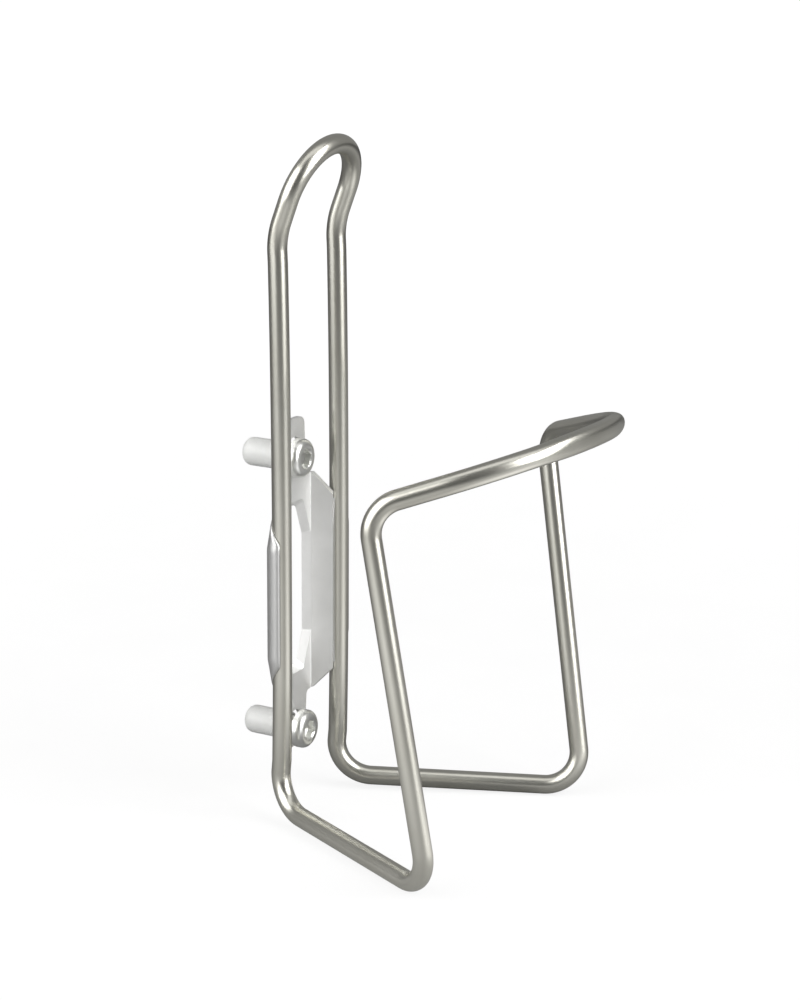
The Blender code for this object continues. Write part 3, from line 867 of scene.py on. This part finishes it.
def make_floor():
    """A large, plain, pale floor; metal sees it darker than the camera does."""
    size = FLOOR_HALF_SIZE
    mesh = bpy.data.meshes.new("floor")
    corners = [(x * size, y * size, -FLOOR_DROP) for x, y in ((-1, -1), (1, -1), (1, 1), (-1, 1))]
    mesh.from_pydata(corners, [], [(0, 1, 2, 3)])
    floor = bpy.data.objects.new("floor", mesh)
    bpy.context.scene.collection.objects.link(floor)
    n = Nodes("floor_white")
    speck = n.noise(scale=40.0, detail=3.0)
    n.put(n.shader, "Base Color", n.ramp(speck, (
        (0.3, (0.17, 0.17, 0.17)),
        (0.7, (0.18, 0.18, 0.18)),
    )))
    n.put(n.shader, "Roughness", 0.9)
    n.put(n.shader, "Specular IOR Level", 0.0)
    n.put(n.shader, "Emission Color", (1.0, 1.0, 1.0, 1.0))
    away = n.add("ShaderNodeVectorMath", Vector=n.place)
    away.operation = "LENGTH"
    to_camera = n.spread(away.outputs["Value"], low=0.84, high=1.0, from_low=0.15, from_high=1.0)
    to_metal = FLOOR_DIM
    for across, reach, radius, strength in LIT_PATCHES:
        patch = n.add("ShaderNodeVectorMath", Vector=n.place)
        patch.operation = "DISTANCE"
        patch.inputs[1].default_value = from_camera(across, 0) * reach
        to_metal = n.spread(patch.outputs["Value"], strength, to_metal, 0.0, radius)
    path = n.add("ShaderNodeLightPath")
    glow = n.spread(path.outputs["Is Camera Ray"], to_metal, to_camera, 0.0, 1.0)
    n.put(n.shader, "Emission Strength", glow)
    mesh.materials.append(n.material)


def make_world():
    """White to the camera; a dim studio, darkest on the camera's side, to everything else."""
    world = bpy.data.worlds.new("studio")
    bpy.context.scene.world = world
    world.use_nodes = True
    tree = world.node_tree
    background = tree.nodes["Background"]
    where = tree.nodes.new("ShaderNodeTexCoord")
    facing = tree.nodes.new("ShaderNodeVectorMath")
    facing.operation = "DOT_PRODUCT"
    facing.inputs[1].default_value = from_camera(0, 0)
    tree.links.new(where.outputs["Generated"], facing.inputs[0])
    ramp = tree.nodes.new("ShaderNodeMapRange")
    ramp.inputs["From Min"].default_value = STUDIO_FADE[0]
    ramp.inputs["From Max"].default_value = STUDIO_FADE[1]
    ramp.inputs["To Min"].default_value = STUDIO_BEHIND
    ramp.inputs["To Max"].default_value = STUDIO_IN_FRONT
    tree.links.new(facing.outputs["Value"], ramp.inputs["Value"])
    path = tree.nodes.new("ShaderNodeLightPath")
    strength = tree.nodes.new("ShaderNodeMix")
    strength.inputs["B"].default_value = 1.0
    tree.links.new(path.outputs["Is Camera Ray"], strength.inputs["Factor"])
    tree.links.new(ramp.outputs["Result"], strength.inputs["A"])
    tree.links.new(strength.outputs["Result"], background.inputs["Strength"])
    background.inputs["Color"].default_value = (1.0, 1.0, 1.0, 1.0)


def area_light(name, position, aim, size, power_watts):
    """A rectangular soft light that points at a place."""
    light = bpy.data.lights.new(name, "AREA")
    light.shape = "RECTANGLE"
    light.size = size[0]
    light.size_y = size[1]
    light.energy = power_watts
    obj = bpy.data.objects.new(name, light)
    obj.location = position
    obj.rotation_euler = (aim - position).to_track_quat("-Z", "Y").to_euler()
    bpy.context.scene.collection.objects.link(obj)


def direction(azimuth, elevation):
    """The unit vector from the cage towards an azimuth and elevation."""
    return Vector((
        sin(azimuth) * cos(elevation), -cos(azimuth) * cos(elevation), sin(elevation),
    ))


def from_camera(across, up):
    """The direction that lies so many degrees across from the camera, and up from the floor."""
    return direction(CAMERA_AZIMUTH + radians(across), radians(up))


def make_lights():
    """Soft boxes either side of the camera and overhead."""
    centre = DATUM + CAMERA_TARGET
    for name, across, up, size, power_watts in LIGHTS:
        position = centre + from_camera(across, up) * LIGHT_DISTANCE
        area_light(name, position, centre, size, power_watts)


def make_camera():
    """The camera, at the viewing angle of the finished picture."""
    back = direction(CAMERA_AZIMUTH, CAMERA_ELEVATION)
    right = Vector((cos(CAMERA_AZIMUTH), sin(CAMERA_AZIMUTH), 0))
    up = back.cross(right)
    rolled_right = right * cos(CAMERA_ROLL) + up * sin(CAMERA_ROLL)
    rolled_up = up * cos(CAMERA_ROLL) - right * sin(CAMERA_ROLL)
    data = bpy.data.cameras.new("camera")
    data.sensor_fit = "AUTO"
    data.sensor_width = 36
    data.lens = CAMERA_LENS
    data.clip_start = 0.01
    data.clip_end = 50
    camera = bpy.data.objects.new("camera", data)
    camera.location = DATUM + CAMERA_TARGET + back * CAMERA_DISTANCE
    camera.rotation_euler = Matrix((rolled_right, rolled_up, back)).transposed().to_euler()
    bpy.context.scene.collection.objects.link(camera)
    bpy.context.scene.camera = camera


# ---- the whole scene -------------------------------------------------------------------------

def main():
    scene = bpy.context.scene
    scene.view_settings.view_transform = "Standard"
    scene.view_settings.look = "None"
    rod_metal = rod_material()
    bracket_metal = sheet_material("bracket_sheet", 1.0, 0.42, 0.52)
    # The crimps: the same sheet, its colour darkened to 0.70 as painted shade, and a little smoother.
    shaded_pressed_metal = sheet_material("bracket_sheet_pressed_painted_shade", 0.70, 0.38, 0.46)
    bolt_metal = steel_material()
    vinyl = vinyl_material()
    make_rod(rod_metal)
    make_bracket(bracket_metal)
    make_crimp(1, "right", shaded_pressed_metal)
    make_crimp(-1, "left", shaded_pressed_metal)
    for side, label, base in ((1, "upper", UPPER_HEAD_BASE_Y), (-1, "lower", LOWER_HEAD_BASE_Y)):
        z = BOLT_CENTRE_Z + side * BOLT_SPACING / 2
        make_bolt(label, z, base, bolt_metal)
        make_cap(label, z, vinyl)
    make_floor()
    make_world()
    make_lights()
    make_camera()


main()
